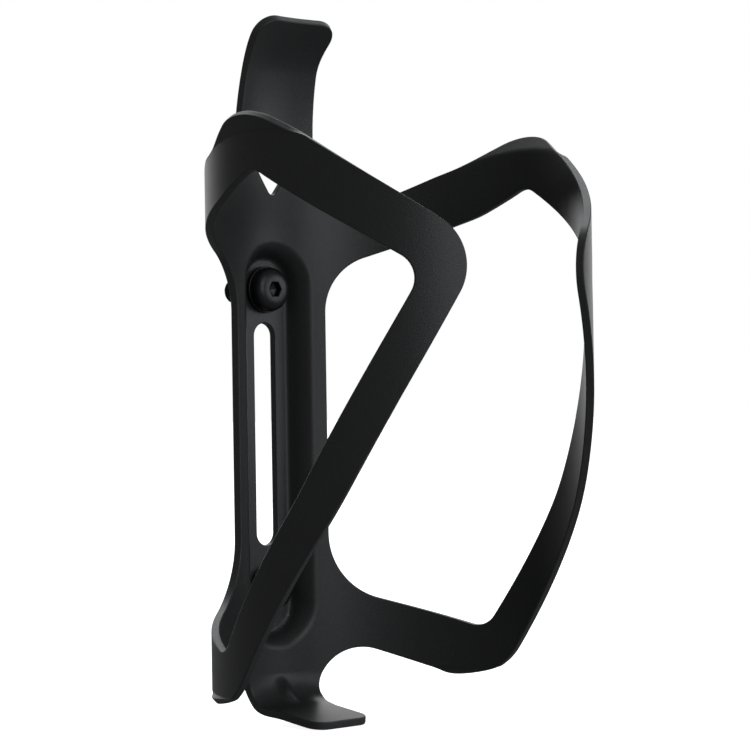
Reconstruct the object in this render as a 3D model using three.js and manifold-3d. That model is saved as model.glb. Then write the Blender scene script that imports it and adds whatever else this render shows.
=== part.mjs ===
// Bicycle water bottle cage: one pressed aluminium sheet whose two open loops hold a 74 mm bottle,
// and the two M5 button-head bolts and washers that fasten it to the frame tube.
//
// Millimetres, +Z up. +Y points at the frame tube and the open side of the cage faces -Y.
// The origin lies on the rear mounting face, on the centreline, between the upper bolt hole and the slot.
//
// The cage is drawn as a flat blank and then formed. On the blank, s runs round the bottle from the
// centreline, as arc length on the loops' inside, and v runs up the sheet from the upper bolt hole.

import * as THREE from "three";
import { mergeVertices } from "three/addons/utils/BufferGeometryUtils.js";
import Module from "manifold-3d";

const { clamp, degToRad, lerp, smoothstep } = THREE.MathUtils;

// Driving dimensions of the sheet
const SHEET = 1.7;
const LOOP_RADIUS = 37.4;
const UPPER_BOLT_Z = 5.2;
const BOLT_SPACING = 64;
const AXIS_TO_FLOOR = 42.1;

// Back plate: the plate sits a little deeper than the loops' circle, and deeper still in the channel
const PLATE_EXTRA_DEPTH = 1.3;
const PLATE_BLEND_ANGLE = degToRad(43);
const CHANNEL_TOP = 6.9;
const CHANNEL_BOTTOM = -73.8;
const CHANNEL_FLOOR_HALF_WIDTH = 6.1;
const CHANNEL_WALL_RUN = 3.6;
const CHANNEL_SOFTNESS = 0.5;

// Holes in the channel floor
const BOLT_HOLE_RADIUS = 2.95;
const SLOT_HALF_WIDTH = 2.75;
const SLOT_TOP = -7.2;
const SLOT_BOTTOM = -55;

// Strips above and below the plate: each bend starts at a distance from the upper bolt hole
const TOP_BENDS = [
  { from: 29, length: 17, turn: degToRad(15) },
  { from: 46, length: 10.5, turn: degToRad(35) },
];
const FOOT_BENDS = [{ from: 82, length: 9.5, turn: degToRad(82.5) }];
const STRIP_HALF_WIDTH = 13;
const STRIP_BLEND_END = 24;
const TOP_TAB_END = 58.7;
const FOOT_END = -106.4;

// Loop corner that is bent outward above a shallow crease
const FLARE_ANGLE = degToRad(36.5);
const FLARE_CREASE = { s: 58.6, v: 28.6, sag: 0.0105 };
const FLARE_START = 36;
const FLARE_FULL = 42;
const CREASE_SOFTNESS = 0.7;

// Stiffening rib pressed into the foot bend
const RIB = { v: -86.9, halfLength: 4.6, halfWidth: 2.4, height: 1.6 };

// Mesh density: the blank is cut along these lines before it is formed
const ARC_STEP = 5;
const LONG_STEP = 10;
const BEND_STEP = 2;
const SEAT_STEP = 1;
const FILLET_CHORD = 2.2;
const SAME_PLACE = 1e-6;

// M5 x 12 button-head bolt (ISO 7380) and washer
const BOLT_RADIUS = 2.5;
const BOLT_LENGTH = 12;
const BOLT_TIP_CHAMFER = 0.6;
const HEAD_RADIUS = 4.75;
const HEAD_HEIGHT = 2.75;
const HEAD_RIM = 0.6;
const HEAD_FLAT_RADIUS = 2.1;
const DOME_SEGMENTS = 6;
const SOCKET_ACROSS_FLATS = 3;
const SOCKET_DEPTH = 1.6;
const WASHER_RADIUS = 5;
const WASHER_HOLE_RADIUS = 2.65;
const WASHER_THICKNESS = 1;
const WASHER_EDGE = 0.15;
const SEAT_GAP = 0.02;
const ROUND_SEGMENTS = 32;
const HOLE_SEGMENTS = 20;

const flat = (s, v) => new THREE.Vector2(s, v);
const mirrored = (corners) => corners.map(([s, v, radius]) => [-s, v, radius]).reverse();

// ---------------------------------------------------------------- flat blank

// Polygon from [s, v, fillet radius] corners, with each fillet as a row of short chords.
function roundedOutline(corners) {
  const count = corners.length;
  return corners.flatMap(([s, v, radius], i) => {
    const corner = flat(s, v);
    if (radius === 0) return [corner];
    const before = corners[(i + count - 1) % count];
    const after = corners[(i + 1) % count];
    const back = flat(before[0], before[1]).sub(corner).normalize();
    const ahead = flat(after[0], after[1]).sub(corner).normalize();
    const half = Math.acos(clamp(back.dot(ahead), -1, 1)) / 2;
    const bisector = back.clone().add(ahead).normalize();
    const centre = corner.clone().addScaledVector(bisector, radius / Math.sin(half));
    const reach = radius / Math.tan(half);
    const first = corner.clone().addScaledVector(back, reach).sub(centre);
    const last = corner.clone().addScaledVector(ahead, reach).sub(centre);
    const sweep = Math.atan2(first.cross(last), first.dot(last));
    const steps = Math.max(2, Math.ceil((radius * Math.abs(sweep)) / FILLET_CHORD));
    const turn = (k) => first.clone().rotateAround(flat(0, 0), (sweep * k) / steps).add(centre);
    return Array.from({ length: steps + 1 }, (_, k) => turn(k));
  });
}

// Right half of the outer edge, from the foot's front edge up to the top tab.
const RIGHT_EDGE = [
  [7.7, FOOT_END, 3.6],
  [7.7, -94.8, 6],
  [9.2, -89, 6],
  [9, -73.8, 10],
  [47.9, -86.9, 15],
  [76.9, -44.6, 120],
  [105, 4.5, 10.5],
  [58.2, 34.8, 12.7],
  [44.2, 27.2, 48],
  [10.8, 13.8, 13],
  [9.5, 47.8, 27],
  [10.9, TOP_TAB_END, 4.8],
];

// Window enclosed by the right loop.
const RIGHT_WINDOW = [
  [12.4, -64.1, 15],
  [46.7, -73.8, 5],
  [68.2, -43.3, 120],
  [93.5, 0.5, 5],
  [58.9, 21, 5],
  [46.6, 15.2, 29],
  [12.4, 4.1, 12.5],
];

// Notch between the arms and the top tab.
const NOTCH = [
  [0, 19.3, 1.2],
  [5.8, 27.8, 2],
  [-5.8, 27.8, 2],
];

function slotOutline(top, bottom, halfWidth) {
  return roundedOutline([
    [halfWidth, top, halfWidth],
    [-halfWidth, top, halfWidth],
    [-halfWidth, bottom, halfWidth],
    [halfWidth, bottom, halfWidth],
  ]);
}

function boltHoleOutline(v) {
  const circle = new THREE.EllipseCurve(0, v, BOLT_HOLE_RADIUS, BOLT_HOLE_RADIUS);
  return circle.getPoints(HOLE_SEGMENTS).slice(0, -1);
}

// Splits each convex polygon at every line where the chosen coordinate has the given value.
function splitAtLines(polygons, coordinate, lines) {
  return lines.reduce((pieces, line) => {
    const side = (point) => point[coordinate] - line;
    return pieces.flatMap((polygon) => {
      if (polygon.every((p) => side(p) <= 0) || polygon.every((p) => side(p) >= 0)) return [polygon];
      const halves = [[], []];
      polygon.forEach((point, i) => {
        const next = polygon[(i + 1) % polygon.length];
        if (side(point) <= 0) halves[0].push(point);
        if (side(point) >= 0) halves[1].push(point);
        if (side(point) * side(next) < 0) {
          const crossing = point.clone().lerp(next, side(point) / (side(point) - side(next)));
          crossing[coordinate] = line;
          halves.forEach((half) => half.push(crossing));
        }
      });
      return halves;
    });
  }, polygons);
}

function linesEvery(step, from, to) {
  const count = Math.round((to - from) / step);
  return Array.from({ length: count + 1 }, (_, i) => lerp(from, to, i / count));
}

// Lines across s follow the curvature round the bottle and the channel walls.
function arcLines() {
  const onBlank = LOOP_RADIUS / plateRadius(0);
  const floorEdge = CHANNEL_FLOOR_HALF_WIDTH * onBlank;
  const wallEnd = (CHANNEL_FLOOR_HALF_WIDTH + CHANNEL_WALL_RUN) * onBlank;
  const loopEnd = Math.max(...RIGHT_EDGE.map(([s]) => s));
  const right = [
    ...linesEvery(SEAT_STEP, 0, floorEdge),
    ...linesEvery(SEAT_STEP, floorEdge, wallEnd),
    ...linesEvery(ARC_STEP, wallEnd, loopEnd),
  ];
  return [...right, ...right.map((s) => -s)];
}

// Lines across v follow the bends, the flared corners and the ends of the channel.
function riseLines() {
  const [footBend] = FOOT_BENDS;
  const [, tabBend] = TOP_BENDS;
  const footFlat = -footBend.from - footBend.length;
  const channelFoot = CHANNEL_BOTTOM - CHANNEL_WALL_RUN;
  const floorFoot = CHANNEL_BOTTOM + CHANNEL_FLOOR_HALF_WIDTH;
  const floorHead = CHANNEL_TOP - CHANNEL_FLOOR_HALF_WIDTH;
  const channelHead = CHANNEL_TOP + CHANNEL_WALL_RUN;
  const flareFoot = FLARE_CREASE.v - 2 * BEND_STEP;
  const flareHead = FLARE_CREASE.v + 2 * BEND_STEP;
  return [
    ...linesEvery(BEND_STEP, footFlat, channelFoot),
    ...linesEvery(SEAT_STEP, channelFoot, floorFoot),
    ...linesEvery(LONG_STEP, floorFoot, floorHead),
    ...linesEvery(SEAT_STEP, floorHead, channelHead),
    ...linesEvery(LONG_STEP / 2, channelHead, flareFoot),
    ...linesEvery(BEND_STEP, flareFoot, flareHead),
    ...linesEvery(LONG_STEP / 2, flareHead, tabBend.from),
    ...linesEvery(BEND_STEP, tabBend.from, TOP_TAB_END),
  ];
}

// Directed edges that only one of the rings uses.
function boundaryEdges(rings) {
  const edges = new Map();
  for (const ring of rings) {
    ring.forEach((a, i) => {
      const b = ring[(i + 1) % ring.length];
      if (!edges.delete(`${b}>${a}`)) edges.set(`${a}>${b}`, [a, b]);
    });
  }
  return [...edges.values()];
}

// Closed loops made by following directed edges from end to end.
function chainLoops(edges) {
  const next = new Map(edges);
  const loops = [];
  while (next.size > 0) {
    const loop = [];
    let at = next.keys().next().value;
    while (next.has(at)) {
      loop.push(at);
      const to = next.get(at);
      next.delete(at);
      at = to;
    }
    loops.push(loop);
  }
  return loops;
}

// Numbers the points of polygons, so that points in the same place share a number.
function numberPoints(polygons) {
  const points = [];
  const seen = new Map();
  const indexOf = (point) => {
    const key = `${point.x.toFixed(4)},${point.y.toFixed(4)}`;
    if (!seen.has(key)) seen.set(key, points.push(point) - 1);
    return seen.get(key);
  };
  const rings = polygons.map((polygon) => {
    const numbers = polygon.map(indexOf);
    return numbers.filter((index, i) => index !== numbers[(i + 1) % numbers.length]);
  });
  return { points, rings: rings.filter((ring) => ring.length > 2) };
}

// The blank as { points, triangles }: one patch per cell of the grid, trimmed by the outline.
function cutBlank() {
  const edge = roundedOutline([...RIGHT_EDGE, ...mirrored(RIGHT_EDGE)]);
  const holes = [
    roundedOutline(RIGHT_WINDOW),
    roundedOutline(mirrored(RIGHT_WINDOW)),
    roundedOutline(NOTCH),
    slotOutline(SLOT_TOP, SLOT_BOTTOM, SLOT_HALF_WIDTH),
    boltHoleOutline(0),
    boltHoleOutline(-BOLT_SPACING),
  ];
  const outlinePoints = [edge, ...holes].flat();
  const faces = THREE.ShapeUtils.triangulateShape(edge, holes).map((face) => {
    const corners = face.map((i) => outlinePoints[i]);
    return THREE.ShapeUtils.area(corners) < 0 ? corners.reverse() : corners;
  });
  const arcs = arcLines();
  const rises = riseLines();
  const columns = splitAtLines(faces, "x", arcs);
  const { points, rings } = numberPoints(splitAtLines(columns, "y", rises));

  const cellOf = (ring) => {
    const middle = (coordinate) => ring.reduce((sum, i) => sum + points[i][coordinate], 0) / ring.length;
    const below = (lines, value) => lines.filter((line) => line < value).length;
    return `${below(arcs, middle("x"))},${below(rises, middle("y"))}`;
  };
  const cells = Object.values(Object.groupBy(rings, cellOf));
  const patches = cells.flatMap((cell) => chainLoops(boundaryEdges(cell)));

  const onOutline = new Set(boundaryEdges(rings).flat());
  const onLine = (value, lines) => lines.some((line) => Math.abs(line - value) < SAME_PLACE);
  const onGrid = ({ x, y }) => onLine(x, arcs) && onLine(y, rises);
  const triangles = patches.flatMap((patch) => {
    const loop = patch.filter((i) => onOutline.has(i) || onGrid(points[i]));
    const outline = loop.map((i) => points[i]);
    return THREE.ShapeUtils.triangulateShape(outline, []).map((face) => face.map((i) => loop[i]));
  });
  return { points, triangles };
}

// ---------------------------------------------------------------- forming

// Distance walked along a strip that leaves the plate straight and turns forward through its bends.
function alongBends(distance, bends) {
  const place = { forward: 0, rise: 0, tilt: 0 };
  let walked = 0;
  const walk = (length, turn) => {
    const chord = turn === 0 ? length : ((2 * length) / turn) * Math.sin(turn / 2);
    place.forward += chord * Math.sin(place.tilt + turn / 2);
    place.rise += chord * Math.cos(place.tilt + turn / 2);
    place.tilt += turn;
    walked += length;
  };
  for (const { from, length, turn } of bends) {
    walk(Math.min(distance, from) - walked, 0);
    const used = clamp(distance - from, 0, length);
    walk(used, (turn * used) / length);
    if (distance <= from + length) return place;
  }
  walk(distance - walked, 0);
  return place;
}

// 0 below zero and x above it, with a short parabola between the two.
function softStart(x, softness) {
  if (x <= -softness) return 0;
  if (x >= softness) return x;
  return (x + softness) ** 2 / (4 * softness);
}

// How far the sheet at (s, v) lies beyond the crease of the flared corner.
function beyondCrease(s, v) {
  const crease = FLARE_CREASE.v - FLARE_CREASE.sag * (Math.abs(s) - FLARE_CREASE.s) ** 2;
  return smoothstep(Math.abs(s), FLARE_START, FLARE_FULL) * softStart(v - crease, CREASE_SOFTNESS);
}

function ribHeight(s, v) {
  const across = clamp(s / RIB.halfWidth, -1, 1);
  const along = clamp((v - RIB.v) / RIB.halfLength, -1, 1);
  return RIB.height * Math.cos((across * Math.PI) / 2) ** 2 * Math.cos((along * Math.PI) / 2) ** 2;
}

// 1 on the channel's flat floor, 0 beyond its walls, which start steep and level out into the plate.
function channelShare(x, v) {
  const past = Math.max(v - CHANNEL_TOP, CHANNEL_BOTTOM - v) + CHANNEL_FLOOR_HALF_WIDTH;
  const distance = Math.hypot(x, Math.max(0, past));
  const climb = softStart(distance - CHANNEL_FLOOR_HALF_WIDTH, CHANNEL_SOFTNESS) / CHANNEL_WALL_RUN;
  return (1 - Math.min(climb, 1)) ** 2;
}

function plateRadius(angle) {
  const share = clamp(Math.abs(angle) / PLATE_BLEND_ANGLE, 0, 1);
  return LOOP_RADIUS + PLATE_EXTRA_DEPTH * Math.cos((share * Math.PI) / 2) ** 2;
}

// Point of the formed sheet's bottle-side face.
function innerFace(s, v) {
  const angle = s / LOOP_RADIUS;
  const flare = beyondCrease(s, v);
  const radius = plateRadius(angle) + flare * Math.sin(FLARE_ANGLE);
  const x = radius * Math.sin(angle);
  const strip = v > 0 ? alongBends(v, TOP_BENDS) : alongBends(-v, FOOT_BENDS);
  const stripShare = 1 - smoothstep(Math.abs(s), STRIP_HALF_WIDTH, STRIP_BLEND_END);
  const up = Math.sign(v);

  const flattened = v < 0 ? smoothstep(strip.tilt, 0, FOOT_BENDS[0].turn) : 0;
  const depth = lerp(radius * Math.cos(angle), plateRadius(0), flattened) - strip.forward * stripShare;
  const rib = ribHeight(s, v);
  const y = depth - AXIS_TO_FLOOR - SHEET - rib * Math.cos(strip.tilt);
  const rise = lerp(v, up * strip.rise, stripShare) + rib * Math.sin(strip.tilt);
  const drop = flare * (1 - Math.cos(FLARE_ANGLE));
  return new THREE.Vector3(x, lerp(y, -SHEET, channelShare(x, v)), UPPER_BOLT_Z + rise - drop);
}

// Point of the frame-side face: one sheet thickness along the surface normal.
function outerFace(s, v) {
  const reach = 1e-3;
  const alongS = innerFace(s + reach, v).sub(innerFace(s - reach, v));
  const alongV = innerFace(s, v + reach).sub(innerFace(s, v - reach));
  const normal = alongV.cross(alongS).normalize();
  return innerFace(s, v).addScaledVector(normal, SHEET);
}

function cageGeometry() {
  const { points, triangles } = cutBlank();
  const count = points.length;
  const corners = [
    ...points.map((p) => innerFace(p.x, p.y)),
    ...points.map((p) => outerFace(p.x, p.y)),
  ];
  const index = [
    ...triangles,
    ...triangles.map(([a, b, c]) => [c + count, b + count, a + count]),
    ...boundaryEdges(triangles).flatMap(([a, b]) => [[b, a, a + count], [b, a + count, b + count]]),
  ];
  const geometry = new THREE.BufferGeometry().setFromPoints(corners);
  geometry.setIndex(index.flat());
  return geometry;
}

// ---------------------------------------------------------------- bolts and washers

const wasm = await Module();
wasm.setup();

function solidFrom(geometry) {
  const bare = geometry.clone();
  bare.deleteAttribute("normal");
  bare.deleteAttribute("uv");
  const merged = mergeVertices(bare, 1e-5);
  const vertProperties = new Float32Array(merged.attributes.position.array);
  const triVerts = new Uint32Array(merged.index.array);
  return new wasm.Manifold(new wasm.Mesh({ numProp: 3, vertProperties, triVerts }));
}

function geometryFrom(solid) {
  const { vertProperties, triVerts } = solid.getMesh();
  const geometry = new THREE.BufferGeometry();
  geometry.setAttribute("position", new THREE.BufferAttribute(vertProperties, 3));
  geometry.setIndex(new THREE.BufferAttribute(triVerts, 1));
  return geometry;
}

// Bolt along +Y with the underside of its head at y = 0 and its head towards -Y.
function boltGeometry() {
  const dome = new THREE.QuadraticBezierCurve(
    flat(HEAD_RADIUS, -HEAD_RIM),
    flat(HEAD_RADIUS, -HEAD_HEIGHT),
    flat(HEAD_FLAT_RADIUS, -HEAD_HEIGHT),
  );
  const profile = [
    flat(0, BOLT_LENGTH),
    flat(BOLT_RADIUS - BOLT_TIP_CHAMFER, BOLT_LENGTH),
    flat(BOLT_RADIUS, BOLT_LENGTH - BOLT_TIP_CHAMFER),
    flat(BOLT_RADIUS, 0),
    flat(HEAD_RADIUS, 0),
    ...dome.getPoints(DOME_SEGMENTS),
    flat(0, -HEAD_HEIGHT),
  ];
  const blank = new THREE.LatheGeometry(profile.reverse(), ROUND_SEGMENTS);
  const socketRadius = SOCKET_ACROSS_FLATS / Math.sqrt(3);
  const socket = new THREE.CylinderGeometry(socketRadius, socketRadius, 2 * SOCKET_DEPTH, 6);
  socket.translate(0, -HEAD_HEIGHT, 0);
  return geometryFrom(solidFrom(blank).subtract(solidFrom(socket)));
}

// Washer centred on the origin, its faces square to Y.
function washerGeometry() {
  const half = WASHER_THICKNESS / 2;
  const profile = [
    flat(WASHER_HOLE_RADIUS, -half),
    flat(WASHER_RADIUS - WASHER_EDGE, -half),
    flat(WASHER_RADIUS, WASHER_EDGE - half),
    flat(WASHER_RADIUS, half - WASHER_EDGE),
    flat(WASHER_RADIUS - WASHER_EDGE, half),
    flat(WASHER_HOLE_RADIUS, half),
    flat(WASHER_HOLE_RADIUS, -half),
  ];
  return new THREE.LatheGeometry(profile, ROUND_SEGMENTS);
}

// ---------------------------------------------------------------- assembly

const anodised = () => new THREE.MeshStandardMaterial({ color: 0x17181a, roughness: 0.5, metalness: 0.6 });
const blackSteel = () => new THREE.MeshStandardMaterial({ color: 0x1c1c1e, roughness: 0.4, metalness: 0.8 });

function piece(name, geometry, material) {
  const mesh = new THREE.Mesh(geometry, material);
  mesh.name = name;
  return mesh;
}

// A bolt through its washer, seated on the front face of the channel floor.
function fastener(place, v) {
  const washer = piece(`${place}_washer`, washerGeometry(), blackSteel());
  const bolt = piece(`${place}_bolt`, boltGeometry(), blackSteel());
  washer.position.y = -SHEET - SEAT_GAP - WASHER_THICKNESS / 2;
  bolt.position.y = -SHEET - WASHER_THICKNESS - 2 * SEAT_GAP;
  const group = new THREE.Group();
  group.position.z = UPPER_BOLT_Z + v;
  group.add(washer, bolt);
  return group;
}

const bottleCage = new THREE.Group();
bottleCage.add(piece("cage_body", cageGeometry(), anodised()));
bottleCage.add(fastener("upper", 0));
bottleCage.add(fastener("lower", -BOLT_SPACING));

export default bottleCage;
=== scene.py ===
"""Looks of a bicycle bottle cage: one black anodised sheet and the screws that hold it, in a white studio."""

import math

import bpy
import numpy as np
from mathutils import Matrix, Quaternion, Vector, geometry


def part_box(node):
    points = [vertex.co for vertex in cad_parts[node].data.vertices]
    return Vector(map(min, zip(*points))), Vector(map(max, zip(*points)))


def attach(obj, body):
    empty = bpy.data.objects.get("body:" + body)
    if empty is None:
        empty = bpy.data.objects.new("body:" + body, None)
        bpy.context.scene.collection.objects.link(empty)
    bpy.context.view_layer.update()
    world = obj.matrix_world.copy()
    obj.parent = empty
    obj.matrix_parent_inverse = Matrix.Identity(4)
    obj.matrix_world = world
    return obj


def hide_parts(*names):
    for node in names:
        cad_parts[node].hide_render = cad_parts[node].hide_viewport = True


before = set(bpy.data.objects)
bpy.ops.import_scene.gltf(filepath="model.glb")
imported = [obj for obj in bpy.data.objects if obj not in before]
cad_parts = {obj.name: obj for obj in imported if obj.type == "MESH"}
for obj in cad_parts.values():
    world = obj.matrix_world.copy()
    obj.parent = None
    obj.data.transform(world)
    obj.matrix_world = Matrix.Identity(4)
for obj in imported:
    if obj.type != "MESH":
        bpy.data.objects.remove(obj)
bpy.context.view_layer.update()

MM = 0.001

# Sheet, in millimetres. On the flat blank s runs round the loops' inside and v up from the upper screw.
SHEET = 1.7
LOOP_RADIUS = 37.4
UPPER_BOLT_Z = 5.2
AXIS_TO_FLOOR = 42.1
PLATE_EXTRA_DEPTH = 1.3
PLATE_BLEND_ANGLE = math.radians(43)
CHANNEL_TOP, CHANNEL_BOTTOM = 6.9, -73.8
CHANNEL_FLOOR_HALF_WIDTH = 6.1
CHANNEL_WALL_RUN = 3.6
CHANNEL_SOFTNESS = 0.5
BOLT_HOLE_RADIUS = 2.95
BOLT_SPACING = 64
SLOT_HALF_WIDTH = 2.75
SLOT_TOP, SLOT_BOTTOM = -7.2, -55

# Bends of the top tab and the foot: distance from the upper screw, length and turn
TOP_BENDS = [(29, 17, math.radians(15)), (46, 10.5, math.radians(35))]
FOOT_BENDS = [(82, 9.5, math.radians(82.5))]
STRIP_HALF_WIDTH, STRIP_BLEND_END = 13, 24
TOP_TAB_END, FOOT_END = 58.7, -106.4

FLARE_ANGLE = math.radians(36.5)
CREASE_S, CREASE_V, CREASE_SAG = 58.6, 28.6, 0.0105
CREASE_SOFTNESS = 0.7
FLARE_START, FLARE_FULL = 36, 42

RIB_V, RIB_HALF_LENGTH, RIB_HALF_WIDTH, RIB_HEIGHT = -86.9, 4.6, 2.4, 1.6

# Each corner of an outline is (s, v, fillet radius)
RIGHT_EDGE = [
    (7.7, FOOT_END, 3.6),
    (7.7, -94.8, 6),
    (9.2, -89, 6),
    (9, -73.8, 10),
    (47.9, -86.9, 15),
    (76.9, -44.6, 120),
    (105, 4.5, 10.5),
    (58.2, 34.8, 12.7),
    (44.2, 27.2, 48),
    (10.8, 13.8, 13),
    (9.5, 47.8, 27),
    (10.9, TOP_TAB_END, 4.8),
]
RIGHT_WINDOW = [
    (12.4, -64.1, 15),
    (46.7, -73.8, 5),
    (68.2, -43.3, 120),
    (93.5, 0.5, 5),
    (58.9, 21, 5),
    (46.6, 15.2, 29),
    (12.4, 4.1, 12.5),
]
NOTCH = [(0, 19.3, 1.2), (5.8, 27.8, 2), (-5.8, 27.8, 2)]

# Density of the visual sheet and the rounding of its cut edges
GRID_STEP = 0.6
EDGE_STEP = 0.7
FILLET_CHORD = 0.45
SAME_POINT = 1e-5
SLOPE_REACH = 1e-3
EDGE_RADIUS = 0.28
BEVEL_ANGLES = [math.radians(a) for a in (0, 30, 60, 90)]
# How much of the painted edge highlight and the extra edge roughness each bevel ring carries, from the cut
# wall inward
BEVEL_EDGE = [1.0, 0.3, 0.1, 0.0]

# M5 x 12 button-head screw and washer, in millimetres
BOLT_RADIUS, BOLT_LENGTH = 2.5, 12
THREAD_PITCH, THREAD_DEPTH = 0.8, 0.45
THREAD_FLANK = 0.4
THREAD_START = 0.6
ROWS_PER_PITCH = 10
SHANK_START, SHANK_FILLET = 0.1, 0.02
TIP_LENGTH, TIP_STEP, TIP_CHAMFER = 0.6, 0.1, 0.45
HEAD_RADIUS, HEAD_HEIGHT, HEAD_RIM, HEAD_FLAT_RADIUS = 4.75, 2.75, 0.6, 2.1
HEAD_EDGE = 0.15
DOME_ROWS = 12
SOCKET_ACROSS_FLATS, SOCKET_DEPTH, SOCKET_CHAMFER = 3, 1.6, 0.15
SOCKET_CONE_DEPTH, SOCKET_CONE_POINT = 0.5, 0.05
SOCKET_FLOOR_SHARE, SOCKET_FLOOR_STEP = 0.97, 0.05
WASHER_RADIUS, WASHER_HOLE_RADIUS, WASHER_THICKNESS, WASHER_EDGE = 5, 2.65, 1, 0.15
WASHER_EDGE_POINTS = 5
SEAT_GAP = 0.02
SHARP_ANGLE = math.radians(38)
TURNS = np.linspace(0, 2 * math.pi, 72, endpoint=False)

# Anodised sheet. Noise scales are per metre, and a bump is (strength, depth in metres).
GRAIN_DARK, GRAIN_LIGHT = (0.012, 0.0125, 0.0135), (0.034, 0.0345, 0.036)
# The lighter cut-edge colour is a painted highlight along the rounded edges. The third noise scale and the
# range below break up that painted highlight and the edges' extra roughness.
EDGE_HIGHLIGHT_COLOUR = (0.05, 0.051, 0.053)
GRAIN_SCALE, CLOUD_SCALE, EDGE_HIGHLIGHT_AND_ROUGH_SCALE = 3600, 45, 900
EDGE_HIGHLIGHT_AND_ROUGH_RANGE = (0.2, 0.8)
SHEET_ROUGHNESS, CUT_EDGE_ROUGHNESS = (0.34, 0.44), 0.22
GRAIN_BUMP = (0.45, 0.00005)

# Black-oxide steel
STEEL_DARK, STEEL_LIGHT = (0.03, 0.03, 0.032), (0.055, 0.055, 0.057)
MARK_SCALE, STEEL_CLOUD_SCALE = 2600, 350
STEEL_ROUGHNESS, STEEL_METALLIC = (0.28, 0.42), 0.85
MARK_BUMP = (0.08, 0.00002)

# Floor
FLOOR_HALF_SIZE = 6
FLOOR_DIM, FLOOR_PALE = (0.22, 0.22, 0.22), (0.93, 0.93, 0.93)
FLOOR_GLOW, FLOOR_ROUGHNESS, FLOOR_SPECULAR = 0.9, 0.9, 0.1

# Camera, in metres: where it stands, how far it turns from +Y and tips up, and how it leans
CAMERA_PLACE = Vector((-0.34591, -0.40405, -0.01896))
CAMERA_TURN = math.radians(43.24)
CAMERA_TIP = math.radians(0.588)
CAMERA_ROLL = math.radians(-0.9)
CAMERA_LENS = 118.2
CAMERA_SENSOR = 36

# Backdrop that the reflections see: how far round it reaches from the camera's direction, and its light
BACKDROP_FULL, BACKDROP_END = math.radians(24), math.radians(50)
BACKDROP_STRENGTH, ROOM_STRENGTH = 1.3, 0.16
BACKDROP_SQUASH = 0.25

# Each light is (place in metres, size in metres, power in watts)
LIGHTS = {
    "overhead": ((0.5, 0.5, 1.0), 0.9, 5.0),
    "front": ((-0.1, -1.0, 0.2), 0.7, 2.0),
    "right": ((0.75, -0.8, 0.15), 0.7, 2.2),
}
LIGHT_AIM = (0, -0.04, 0)
LIGHT_TINT = (0.94, 0.98, 1.0)


def mirrored(corners):
    return [(-s, v, radius) for s, v, radius in reversed(corners)]


def lerp(a, b, share):
    return a + (b - a) * share


def smoothstep(x, low, high):
    share = np.clip((x - low) / (high - low), 0, 1)
    return share * share * (3 - 2 * share)


def unit(vectors):
    return vectors / np.linalg.norm(vectors, axis=1)[:, None]


# ------------------------------------------------------------------ blank


def rotated(vector, turn):
    cos, sin = math.cos(turn), math.sin(turn)
    return np.array((vector[0] * cos - vector[1] * sin, vector[0] * sin + vector[1] * cos))


def rounded_outline(corners):
    """Closed outline with each corner rounded by its own radius."""
    points = []
    for i, (s, v, radius) in enumerate(corners):
        corner = np.array((s, v), float)
        back = np.array(corners[i - 1][:2]) - corner
        ahead = np.array(corners[(i + 1) % len(corners)][:2]) - corner
        back /= np.linalg.norm(back)
        ahead /= np.linalg.norm(ahead)
        half = math.acos(np.clip(back @ ahead, -1, 1)) / 2
        bisector = (back + ahead) / np.linalg.norm(back + ahead)
        centre = corner + bisector * radius / math.sin(half)
        reach = radius / math.tan(half)
        first = corner + back * reach - centre
        last = corner + ahead * reach - centre
        sweep = math.atan2(first[0] * last[1] - first[1] * last[0], first @ last)
        steps = max(2, math.ceil(radius * abs(sweep) / FILLET_CHORD))
        for turn in np.linspace(0, sweep, steps + 1):
            points.append(centre + rotated(first, turn))
    return np.array(points)


def rounded_slot(half_width, top, bottom):
    corners = [(half_width, top), (-half_width, top), (-half_width, bottom), (half_width, bottom)]
    return rounded_outline([(s, v, half_width) for s, v in corners])


def round_hole(v):
    steps = math.ceil(2 * math.pi * BOLT_HOLE_RADIUS / FILLET_CHORD)
    turns = np.linspace(0, 2 * math.pi, steps, endpoint=False)
    return np.stack((BOLT_HOLE_RADIUS * np.cos(turns), v + BOLT_HOLE_RADIUS * np.sin(turns)), axis=1)


def evenly_stepped(loop):
    """The same loop with its long sides divided and no repeated points."""
    points = []
    for start, end in zip(loop, np.roll(loop, -1, axis=0)):
        length = np.linalg.norm(end - start)
        steps = math.ceil(length / EDGE_STEP - 1e-6)
        points += [lerp(start, end, k / steps) for k in range(steps)]
    return np.array(points)


def turned(loop, anticlockwise):
    """The loop in the asked direction, so that the sheet always lies on its left."""
    s, v = loop.T
    area = np.sum(s * np.roll(v, -1) - v * np.roll(s, -1))
    return loop if (area > 0) == anticlockwise else loop[::-1]


def blank_loops():
    """The blank's outer edge, then its holes."""
    edge = rounded_outline(RIGHT_EDGE + mirrored(RIGHT_EDGE))
    holes = [
        rounded_outline(RIGHT_WINDOW),
        rounded_outline(mirrored(RIGHT_WINDOW)),
        rounded_outline(NOTCH),
        rounded_slot(SLOT_HALF_WIDTH, SLOT_TOP, SLOT_BOTTOM),
        round_hole(0),
        round_hole(-BOLT_SPACING),
    ]
    return [evenly_stepped(turned(edge, True))] + [evenly_stepped(turned(hole, False)) for hole in holes]


def inward_directions(loop):
    """At each point of a loop, the direction square to it that leads into the sheet."""
    along = unit(np.roll(loop, -1, axis=0) - np.roll(loop, 1, axis=0))
    return np.stack((-along[:, 1], along[:, 0]), axis=1)


# ---------------------------------------------------------------- forming


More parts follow.
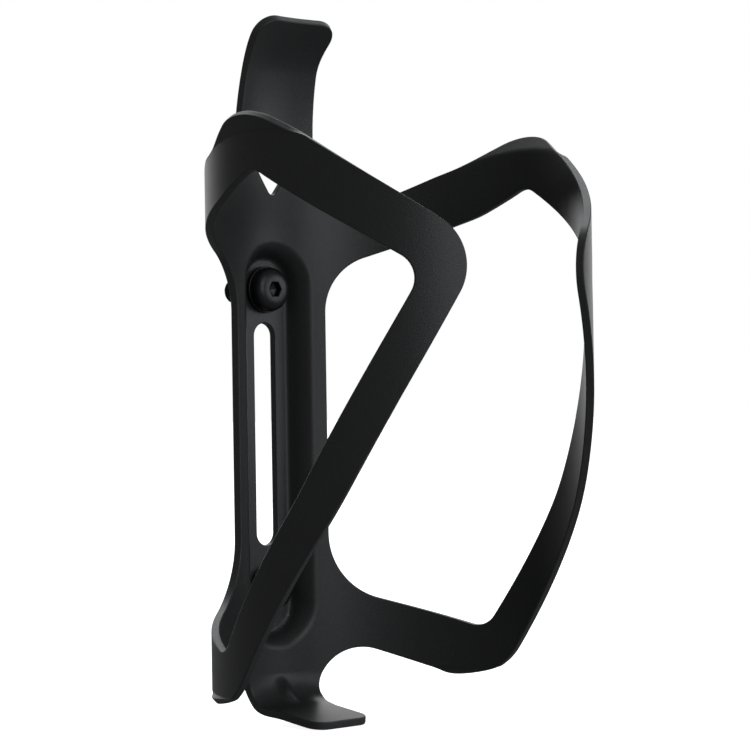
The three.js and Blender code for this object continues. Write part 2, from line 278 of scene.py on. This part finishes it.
def along_bends(distance, bends):
    """(forward, rise, tilt) at a distance along a strip that leaves the plate straight and then bends."""
    forward, rise, tilt = np.zeros((3, len(distance)))
    walked = 0
    for start, length, turn in bends:
        straight = np.clip(distance - walked, 0, start - walked)
        forward = forward + straight * np.sin(tilt)
        rise = rise + straight * np.cos(tilt)
        bent = tilt + turn * np.clip(distance - start, 0, length) / length
        forward = forward + length / turn * (np.cos(tilt) - np.cos(bent))
        rise = rise + length / turn * (np.sin(bent) - np.sin(tilt))
        tilt = bent
        walked = start + length
    rest = np.maximum(distance - walked, 0)
    return forward + rest * np.sin(tilt), rise + rest * np.cos(tilt), tilt


def soft_start(x, softness):
    """0 below zero and x above it, with a short parabola between the two."""
    soft = (x + softness) ** 2 / (4 * softness)
    return np.where(x > softness, x, np.where(x < -softness, 0, soft))


def beyond_crease(s, v):
    """How far a point lies above the loop's curved crease, where the sheet flares out."""
    crease = CREASE_V - CREASE_SAG * (np.abs(s) - CREASE_S) ** 2
    return soft_start(v - crease, CREASE_SOFTNESS) * smoothstep(np.abs(s), FLARE_START, FLARE_FULL)


def rib_height(s, v):
    across = np.clip(s / RIB_HALF_WIDTH, -1, 1)
    along = np.clip((v - RIB_V) / RIB_HALF_LENGTH, -1, 1)
    return RIB_HEIGHT * np.cos(across * math.pi / 2) ** 2 * np.cos(along * math.pi / 2) ** 2


def channel_share(x, v):
    """1 on the channel's flat floor, 0 beyond its walls, which start steep and level out into the plate."""
    past = np.maximum(v - CHANNEL_TOP, CHANNEL_BOTTOM - v) + CHANNEL_FLOOR_HALF_WIDTH
    distance = np.hypot(x, np.maximum(0, past))
    climb = soft_start(distance - CHANNEL_FLOOR_HALF_WIDTH, CHANNEL_SOFTNESS) / CHANNEL_WALL_RUN
    return (1 - np.minimum(climb, 1)) ** 2


def plate_radius(angle):
    share = np.clip(np.abs(angle) / PLATE_BLEND_ANGLE, 0, 1)
    return LOOP_RADIUS + PLATE_EXTRA_DEPTH * np.cos(share * math.pi / 2) ** 2


def inner_face(blank):
    """Points of the formed sheet's bottle-side face, in millimetres."""
    s, v = blank.T
    angle = s / LOOP_RADIUS
    flare = beyond_crease(s, v)
    radius = plate_radius(angle) + flare * math.sin(FLARE_ANGLE)
    x = radius * np.sin(angle)
    top = along_bends(np.maximum(v, 0), TOP_BENDS)
    foot = along_bends(np.maximum(-v, 0), FOOT_BENDS)
    forward, rise, tilt = np.where(v > 0, top, foot)
    strip_share = 1 - smoothstep(np.abs(s), STRIP_HALF_WIDTH, STRIP_BLEND_END)
    foot_turn = FOOT_BENDS[0][2]
    flattened = np.where(v < 0, smoothstep(tilt, 0, foot_turn), 0)
    depth = lerp(radius * np.cos(angle), plate_radius(0), flattened) - forward * strip_share
    rib = rib_height(s, v)
    y = depth - AXIS_TO_FLOOR - SHEET - rib * np.cos(tilt)
    y = lerp(y, -SHEET, channel_share(x, v))
    z = lerp(v, np.sign(v) * rise, strip_share) + rib * np.sin(tilt) - flare * (1 - math.cos(FLARE_ANGLE))
    return np.stack((x, y, z + UPPER_BOLT_Z), axis=1)


def slope_along(blank, direction):
    return inner_face(blank + SLOPE_REACH * direction) - inner_face(blank - SLOPE_REACH * direction)


def outward_normal(blank):
    """Unit normal that points away from the bottle."""
    along_s = slope_along(blank, np.array((1.0, 0.0)))
    along_v = slope_along(blank, np.array((0.0, 1.0)))
    return unit(np.cross(along_v, along_s))


# ------------------------------------------------------------- sheet mesh


def crossings(points, start, end):
    """For each point, whether a ray along +s crosses the side from start to end."""
    s, v = points.T
    low, high = sorted((start[1], end[1]))
    if low == high:
        return np.zeros(len(points), bool)
    crossing = start[0] + (v - start[1]) / (end[1] - start[1]) * (end[0] - start[0])
    return (v > low) & (v <= high) & (s < crossing)


def inside(points, loops):
    """Which points lie on the sheet: inside the outline and outside the holes."""
    odd = np.zeros(len(points), bool)
    for loop in loops:
        for start, end in zip(loop, np.roll(loop, -1, axis=0)):
            odd ^= crossings(points, start, end)
    return odd


def interior_points(loops):
    """Grid of points on the sheet that keeps a little away from the loops."""
    low, high = loops[0].min(axis=0), loops[0].max(axis=0)
    s, v = np.meshgrid(np.arange(low[0], high[0], GRID_STEP), np.arange(low[1], high[1], GRID_STEP))
    grid = np.stack((s.ravel(), v.ravel()), axis=1)
    grid = grid[inside(grid, loops)]
    for corner in np.vstack(loops):
        grid = grid[np.abs(grid - corner).sum(axis=1) > GRID_STEP / 2]
    return grid


def interior_triangles(loops):
    """Points, triangles and each point's origin, for a mesh that fills the blank inside the loops."""
    corners = np.vstack(loops)
    edges = []
    for loop in loops:
        first = len(edges)
        edges += [(first + i, first + (i + 1) % len(loop)) for i in range(len(loop))]
    points = [Vector(p) for p in np.vstack((corners, interior_points(loops)))]
    whole_hull = 0
    found = geometry.delaunay_2d_cdt(points, edges, [], whole_hull, SAME_POINT, True)
    places = np.array([tuple(p) for p in found[0]])
    triangles = np.array(found[2])
    on_sheet = inside(places[triangles].mean(axis=1), loops)
    return places, triangles[on_sheet].tolist(), found[3]


def fill_inside(last_ring):
    """Points inside the last bevel ring, and the triangles that join them to it, in the sheet's numbering."""
    ring_size = sum(len(loop) for loop in last_ring)
    ring_start = (len(BEVEL_ANGLES) - 1) * ring_size
    places, triangles, origins = interior_triangles(last_ring)
    number = {}
    extra = []
    for i, origin in enumerate(origins):
        if origin and min(origin) < ring_size:
            number[i] = ring_start + min(origin)
        else:
            number[i] = ring_start + ring_size + len(extra)
            extra.append(i)
    return places[extra], [tuple(number[i] for i in triangle) for triangle in triangles]


def both_sides(blank, inward):
    """Points and normals of the bottle side, followed by those of the far side, one thickness away."""
    on_ring = slice(0, len(BEVEL_ANGLES) * len(inward))
    angles = np.full(len(blank), math.pi / 2)
    angles[on_ring] = np.repeat(BEVEL_ANGLES, len(inward))
    sin, cos = np.sin(angles)[:, None], np.cos(angles)[:, None]
    drop = EDGE_RADIUS * (1 - sin)
    face = inner_face(blank)
    normal = outward_normal(blank)
    side = np.zeros_like(face)
    outward = np.tile(-inward, (len(BEVEL_ANGLES), 1))
    side[on_ring] = unit(slope_along(blank[on_ring], outward))
    points = np.vstack((face + normal * drop, face + normal * (SHEET - drop)))
    normals = np.vstack((side * cos - normal * sin, side * cos + normal * sin))
    return points, unit(normals)


def next_on_loop(counts):
    """For each point of the loops, the number of the point after it."""
    following = np.concatenate([np.roll(np.arange(count), -1) for count in counts])
    return following + np.repeat(np.cumsum([0] + counts[:-1]), counts)


def sheet_faces(following, triangles, side_size):
    """Faces of both rounded edges, of the cut wall between them and of the two filled sides."""
    faces = []
    ring_size = len(following)
    for k in range(len(BEVEL_ANGLES) - 1):
        outer, inner = k * ring_size, (k + 1) * ring_size
        for a, b in enumerate(following):
            quad = (outer + a, outer + b, inner + b, inner + a)
            faces.append(quad)
            faces.append(tuple(side_size + i for i in reversed(quad)))
    faces += [(b, a, a + side_size, b + side_size) for a, b in enumerate(following)]
    for triangle in triangles:
        faces.append(triangle)
        faces.append(tuple(side_size + i for i in reversed(triangle)))
    return faces


def build_sheet():
    loops = blank_loops()
    counts = [len(loop) for loop in loops]
    edge = np.vstack(loops)
    inward = np.vstack([inward_directions(loop) for loop in loops])
    rings = [edge + inward * EDGE_RADIUS * (1 - math.cos(angle)) for angle in BEVEL_ANGLES]
    last_ring = np.split(rings[-1], np.cumsum(counts)[:-1])
    fill, triangles = fill_inside(last_ring)
    blank = np.vstack(rings + [fill])
    points, normals = both_sides(blank, inward)
    # Mark on the bevel rings that carries the painted edge highlight and the rougher edge
    cut = np.concatenate((np.repeat(BEVEL_EDGE, len(edge)), np.zeros(len(fill))))
    faces = sheet_faces(next_on_loop(counts), triangles, len(blank))
    return new_mesh("cage_sheet", points, faces, normals, np.tile(cut, 2))


def new_mesh(name, points, faces, normals=None, cut=None):
    """Object from points in millimetres, with its own normals and cut-edge mark if they are given."""
    mesh = bpy.data.meshes.new(name)
    mesh.from_pydata((np.asarray(points) * MM).tolist(), [], faces)
    mesh.validate()
    mesh.update()
    mesh.shade_smooth()
    if normals is not None:
        mesh.normals_split_custom_set_from_vertices(normals.tolist())
    if cut is not None:
        attribute = mesh.attributes.new("cut_edge", "FLOAT", "POINT")
        attribute.data.foreach_set("value", cut.astype(np.float32))
    return linked(bpy.data.objects.new(name, mesh))


def linked(obj):
    bpy.context.scene.collection.objects.link(obj)
    return obj


# -------------------------------------------------------- screws, washers


def loft(name, rows, closed):
    """Object through rows of points. Flat faces close its ends, or closed joins the ends to each other."""
    count = len(rows[0])
    points = [p for row in rows for p in row]
    faces = []
    pairs = len(rows) if closed else len(rows) - 1
    for k in range(pairs):
        a, b = k * count, (k + 1) % len(rows) * count
        for i in range(count):
            j = (i + 1) % count
            faces.append((a + i, b + i, b + j, a + j))
    if not closed:
        last = (len(rows) - 1) * count
        faces.append(tuple(range(count)))
        faces.append(tuple(last + i for i in reversed(range(count))))
    obj = new_mesh(name, points, faces)
    obj.data.set_sharp_from_angle(angle=SHARP_ANGLE)
    return obj


def ring(radius, y):
    """Points round the Y axis. The radius is one number or one for each turn."""
    radii = np.broadcast_to(radius, TURNS.shape)
    return np.stack((radii * np.cos(TURNS), np.full_like(TURNS, y), radii * np.sin(TURNS)), axis=1)


def socket_radius():
    """Distance from the axis to the sides of the hexagon socket."""
    within_side = np.mod(TURNS, math.pi / 3) - math.pi / 6
    return SOCKET_ACROSS_FLATS / 2 / np.cos(within_side)


def thread_radius(y):
    """Radius of the shank where its thread, which fades in below the head, winds past y."""
    phase = np.mod(y / THREAD_PITCH + TURNS / (2 * math.pi), 1)
    height = np.clip((0.5 - np.abs(phase - 0.5)) / THREAD_FLANK, 0, 1)
    fade = np.clip((y - THREAD_START) / THREAD_PITCH, 0, 1)
    return BOLT_RADIUS - THREAD_DEPTH * (1 - height) * fade


def socket_rows():
    """Rows from the socket's drilled point up its sides to the head's flat top."""
    socket = socket_radius()
    floor = -HEAD_HEIGHT + SOCKET_DEPTH
    return [
        ring(SOCKET_CONE_POINT, floor + SOCKET_CONE_DEPTH),
        ring(socket * SOCKET_FLOOR_SHARE, floor),
        ring(socket, floor - SOCKET_FLOOR_STEP),
        ring(socket, -HEAD_HEIGHT + SOCKET_CHAMFER),
        ring(socket + SOCKET_CHAMFER, -HEAD_HEIGHT),
    ]


def head_rows():
    """Rows of the domed head, from its flat top out to its rim and under to the shank."""
    rows = []
    for t in np.linspace(0, 1, DOME_ROWS):
        radius = lerp(HEAD_FLAT_RADIUS, HEAD_RADIUS, 1 - (1 - t) ** 2)
        rows.append(ring(radius, lerp(-HEAD_HEIGHT, -HEAD_RIM, t * t)))
    rows.append(ring(HEAD_RADIUS, -HEAD_EDGE))
    rows.append(ring(HEAD_RADIUS - HEAD_EDGE, 0))
    return rows


def shank_rows():
    """Rows of the threaded shank and its chamfered tip."""
    rows = [ring(BOLT_RADIUS + SHANK_FILLET, 0)]
    tip = BOLT_LENGTH - TIP_LENGTH
    for y in np.arange(SHANK_START, tip, THREAD_PITCH / ROWS_PER_PITCH):
        rows.append(ring(thread_radius(y), y))
    rows.append(ring(BOLT_RADIUS - THREAD_DEPTH, tip + TIP_STEP))
    rows.append(ring(BOLT_RADIUS - THREAD_DEPTH - TIP_CHAMFER, BOLT_LENGTH))
    return rows


def build_bolt(name):
    """Screw along +Y with the underside of its head at y = 0."""
    return loft(name, socket_rows() + head_rows() + shank_rows(), closed=False)


def build_washer(name):
    """Washer centred on the origin, its faces square to Y and its edges rounded."""
    inner, outer = WASHER_HOLE_RADIUS + WASHER_EDGE, WASHER_RADIUS - WASHER_EDGE
    flat = WASHER_THICKNESS / 2 - WASHER_EDGE
    rows = []
    for k, (radius, y) in enumerate([(inner, -flat), (outer, -flat), (outer, flat), (inner, flat)]):
        start = math.pi * (1 + k / 2)
        for turn in np.linspace(start, start + math.pi / 2, WASHER_EDGE_POINTS):
            rows.append(ring(radius + WASHER_EDGE * math.cos(turn), y + WASHER_EDGE * math.sin(turn)))
    return loft(name, rows, closed=True)


# -------------------------------------------------------------- materials


class Nodes:
    """Short helper round one material's node tree."""

    def __init__(self, name):
        self.material = bpy.data.materials.new(name)
        self.material.use_nodes = True
        self.tree = self.material.node_tree
        self.shader = self.tree.nodes["Principled BSDF"]

    def add(self, kind, **values):
        node = self.tree.nodes.new(kind)
        for key, value in values.items():
            if key in node.inputs:
                node.inputs[key].default_value = value
            else:
                setattr(node, key, value)
        return node

    def link(self, output, target):
        self.tree.links.new(output, target)

    def noise(self, scale, detail=2.0):
        place = self.add("ShaderNodeTexCoord")
        texture = self.add("ShaderNodeTexNoise", Scale=scale, Detail=detail)
        self.link(place.outputs["Object"], texture.inputs["Vector"])
        return texture.outputs["Fac"]

    def between(self, factor, low, high):
        """A value that goes from low to high as the factor goes from 0 to 1."""
        node = self.add("ShaderNodeMapRange", **{"To Min": low, "To Max": high})
        self.link(factor, node.inputs["Value"])
        return node.outputs["Result"]

    def times(self, a, b):
        node = self.add("ShaderNodeMath", operation="MULTIPLY")
        self.link(a, node.inputs[0])
        self.link(b, node.inputs[1])
        return node.outputs["Value"]

    def times_plus(self, a, factor, b):
        node = self.add("ShaderNodeMath", operation="MULTIPLY_ADD")
        self.link(a, node.inputs[0])
        node.inputs[1].default_value = factor
        self.link(b, node.inputs[2])
        return node.outputs["Value"]

    def colours(self, factor, first, second):
        """A colour from first to second, where first may be another node's output."""
        node = self.add("ShaderNodeMix", data_type="RGBA")
        if isinstance(first, tuple):
            node.inputs["A"].default_value = (*first, 1)
        else:
            self.link(first, node.inputs["A"])
        node.inputs["B"].default_value = (*second, 1)
        self.link(factor, node.inputs["Factor"])
        return node.outputs["Result"]

    def bump(self, height, strength, distance):
        node = self.add("ShaderNodeBump", Strength=strength, Distance=distance)
        self.link(height, node.inputs["Height"])
        self.link(node.outputs["Normal"], self.shader.inputs["Normal"])


def anodised_material():
    """Bead-blasted, black anodised aluminium. Its cut edges are rougher, and a painted highlight, broken up
    by noise, makes them a little lighter.
    """
    n = Nodes("black_anodised_sheet")
    cut_edge = n.add("ShaderNodeAttribute", attribute_name="cut_edge").outputs["Fac"]
    # Cut-edge mark broken up by noise: it drives the painted edge highlight in the colour and the extra
    # roughness
    edge_highlight_and_rough = n.times(cut_edge, n.between(n.noise(EDGE_HIGHLIGHT_AND_ROUGH_SCALE, detail=3), *EDGE_HIGHLIGHT_AND_ROUGH_RANGE))
    grain = n.noise(GRAIN_SCALE)
    cloud = n.noise(CLOUD_SCALE, detail=3)
    face = n.colours(grain, GRAIN_DARK, GRAIN_LIGHT)
    # Painted highlight: the colour is mixed toward the lighter edge colour along the cut edges
    n.link(n.colours(edge_highlight_and_rough, face, EDGE_HIGHLIGHT_COLOUR), n.shader.inputs["Base Color"])
    rough = n.times_plus(edge_highlight_and_rough, CUT_EDGE_ROUGHNESS, n.between(cloud, *SHEET_ROUGHNESS))
    n.link(rough, n.shader.inputs["Roughness"])
    n.bump(grain, *GRAIN_BUMP)
    return n.material


def steel_material():
    """Black-oxide steel with fine turning marks."""
    n = Nodes("black_steel")
    marks = n.noise(MARK_SCALE, detail=3)
    cloud = n.noise(STEEL_CLOUD_SCALE)
    n.link(n.colours(cloud, STEEL_DARK, STEEL_LIGHT), n.shader.inputs["Base Color"])
    n.link(n.between(marks, *STEEL_ROUGHNESS), n.shader.inputs["Roughness"])
    n.shader.inputs["Metallic"].default_value = STEEL_METALLIC
    n.bump(marks, *MARK_BUMP)
    return n.material


def floor_material():
    """Pale floor: almost white to the camera, and dim to the object's reflections, as in a dark studio."""
    n = Nodes("pale_floor")
    seen = n.add("ShaderNodeLightPath").outputs["Is Camera Ray"]
    n.link(n.colours(seen, FLOOR_DIM, FLOOR_PALE), n.shader.inputs["Base Color"])
    n.link(n.between(seen, 0.0, FLOOR_GLOW), n.shader.inputs["Emission Strength"])
    n.shader.inputs["Emission Color"].default_value = (1, 1, 1, 1)
    n.shader.inputs["Roughness"].default_value = FLOOR_ROUGHNESS
    n.shader.inputs["Specular IOR Level"].default_value = FLOOR_SPECULAR
    return n.material


# ------------------------------------------------------------------ stage


def build_floor(low):
    size = FLOOR_HALF_SIZE
    mesh = bpy.data.meshes.new("floor")
    corners = [(-size, -size, low), (size, -size, low), (size, size, low), (-size, size, low)]
    mesh.from_pydata(corners, [], [(0, 1, 2, 3)])
    mesh.materials.append(floor_material())
    linked(bpy.data.objects.new("floor", mesh))


def camera_direction():
    level = Vector((math.sin(CAMERA_TURN), math.cos(CAMERA_TURN), 0))
    return level * math.cos(CAMERA_TIP) + Vector((0, 0, math.sin(CAMERA_TIP)))


def vector_math(nodes, operation, vector=(0, 0, 0)):
    node = nodes.new("ShaderNodeVectorMath")
    node.operation = operation
    node.inputs[1].default_value = vector
    return node


def backdrop_ramp(nodes):
    """Light that rises from the room's to the backdrop's as a direction nears the camera's."""
    ramp = nodes.new("ShaderNodeMapRange")
    ramp.interpolation_type = "SMOOTHERSTEP"
    ramp.inputs["From Min"].default_value = math.cos(BACKDROP_END)
    ramp.inputs["From Max"].default_value = math.cos(BACKDROP_FULL)
    ramp.inputs["To Min"].default_value = ROOM_STRENGTH
    ramp.inputs["To Max"].default_value = BACKDROP_STRENGTH
    return ramp


def build_world():
    """White background for the camera. Reflections see it bright behind the object and dim in front."""
    world = bpy.data.worlds.new("studio")
    world.use_nodes = True
    bpy.context.scene.world = world
    nodes, links = world.node_tree.nodes, world.node_tree.links
    nodes.clear()
    place = nodes.new("ShaderNodeTexCoord")
    squash = vector_math(nodes, "MULTIPLY", (1, 1, BACKDROP_SQUASH))
    level = vector_math(nodes, "NORMALIZE")
    facing = vector_math(nodes, "DOT_PRODUCT", camera_direction())
    ramp = backdrop_ramp(nodes)
    seen = nodes.new("ShaderNodeBackground")
    reflected = nodes.new("ShaderNodeBackground")
    path = nodes.new("ShaderNodeLightPath")
    mix = nodes.new("ShaderNodeMixShader")
    output = nodes.new("ShaderNodeOutputWorld")
    links.new(place.outputs["Generated"], squash.inputs[0])
    links.new(squash.outputs["Vector"], level.inputs[0])
    links.new(level.outputs["Vector"], facing.inputs[0])
    links.new(facing.outputs["Value"], ramp.inputs["Value"])
    links.new(ramp.outputs["Result"], reflected.inputs["Strength"])
    links.new(path.outputs["Is Camera Ray"], mix.inputs["Fac"])
    links.new(reflected.outputs["Background"], mix.inputs[1])
    links.new(seen.outputs["Background"], mix.inputs[2])
    links.new(mix.outputs["Shader"], output.inputs["Surface"])
    for background in (seen, reflected):
        background.inputs["Color"].default_value = (1, 1, 1, 1)


def soft_light(name, place, size, power):
    light = bpy.data.lights.new(name, "AREA")
    light.shape = "DISK"
    light.size = size
    light.energy = power
    light.color = LIGHT_TINT
    obj = linked(bpy.data.objects.new(name, light))
    obj.location = place
    obj.rotation_euler = (Vector(LIGHT_AIM) - Vector(place)).to_track_quat("-Z", "Y").to_euler()
    obj.visible_camera = False


def build_camera():
    camera = bpy.data.cameras.new("camera")
    camera.lens = CAMERA_LENS
    camera.sensor_width = CAMERA_SENSOR
    obj = linked(bpy.data.objects.new("camera", camera))
    obj.location = CAMERA_PLACE
    aim = camera_direction().to_track_quat("-Z", "Y")
    roll = Quaternion((0, 0, 1), CAMERA_ROLL)
    obj.rotation_mode = "QUATERNION"
    obj.rotation_quaternion = aim @ roll
    bpy.context.scene.camera = obj


def build_studio(low):
    build_floor(low)
    build_world()
    build_camera()
    for name, (place, size, power) in LIGHTS.items():
        soft_light(name, place, size, power)
    bpy.context.scene.view_settings.view_transform = "Standard"


# --------------------------------------------------------------- assembly


def place_piece(obj, body, node, material, place=(0, 0, 0)):
    obj.data.materials.append(material)
    obj.location = Vector(place) * MM
    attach(obj, body)
    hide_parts(node)


def build_fastener(place, z, steel):
    """A washer on the plate and a screw on the washer. Each is a body of its own, named like its node."""
    washer_y = -SHEET - SEAT_GAP - WASHER_THICKNESS / 2
    bolt_y = -SHEET - WASHER_THICKNESS - 2 * SEAT_GAP
    washer, bolt = f"{place}_washer", f"{place}_bolt"
    place_piece(build_washer(f"{washer}_finish"), washer, washer, steel, (0, washer_y, z))
    place_piece(build_bolt(f"{bolt}_finish"), bolt, bolt, steel, (0, bolt_y, z))


place_piece(build_sheet(), "cage", "cage_body", anodised_material())
black_steel = steel_material()
build_fastener("upper", UPPER_BOLT_Z, black_steel)
build_fastener("lower", UPPER_BOLT_Z - BOLT_SPACING, black_steel)
build_studio(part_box("cage_body")[0].z)
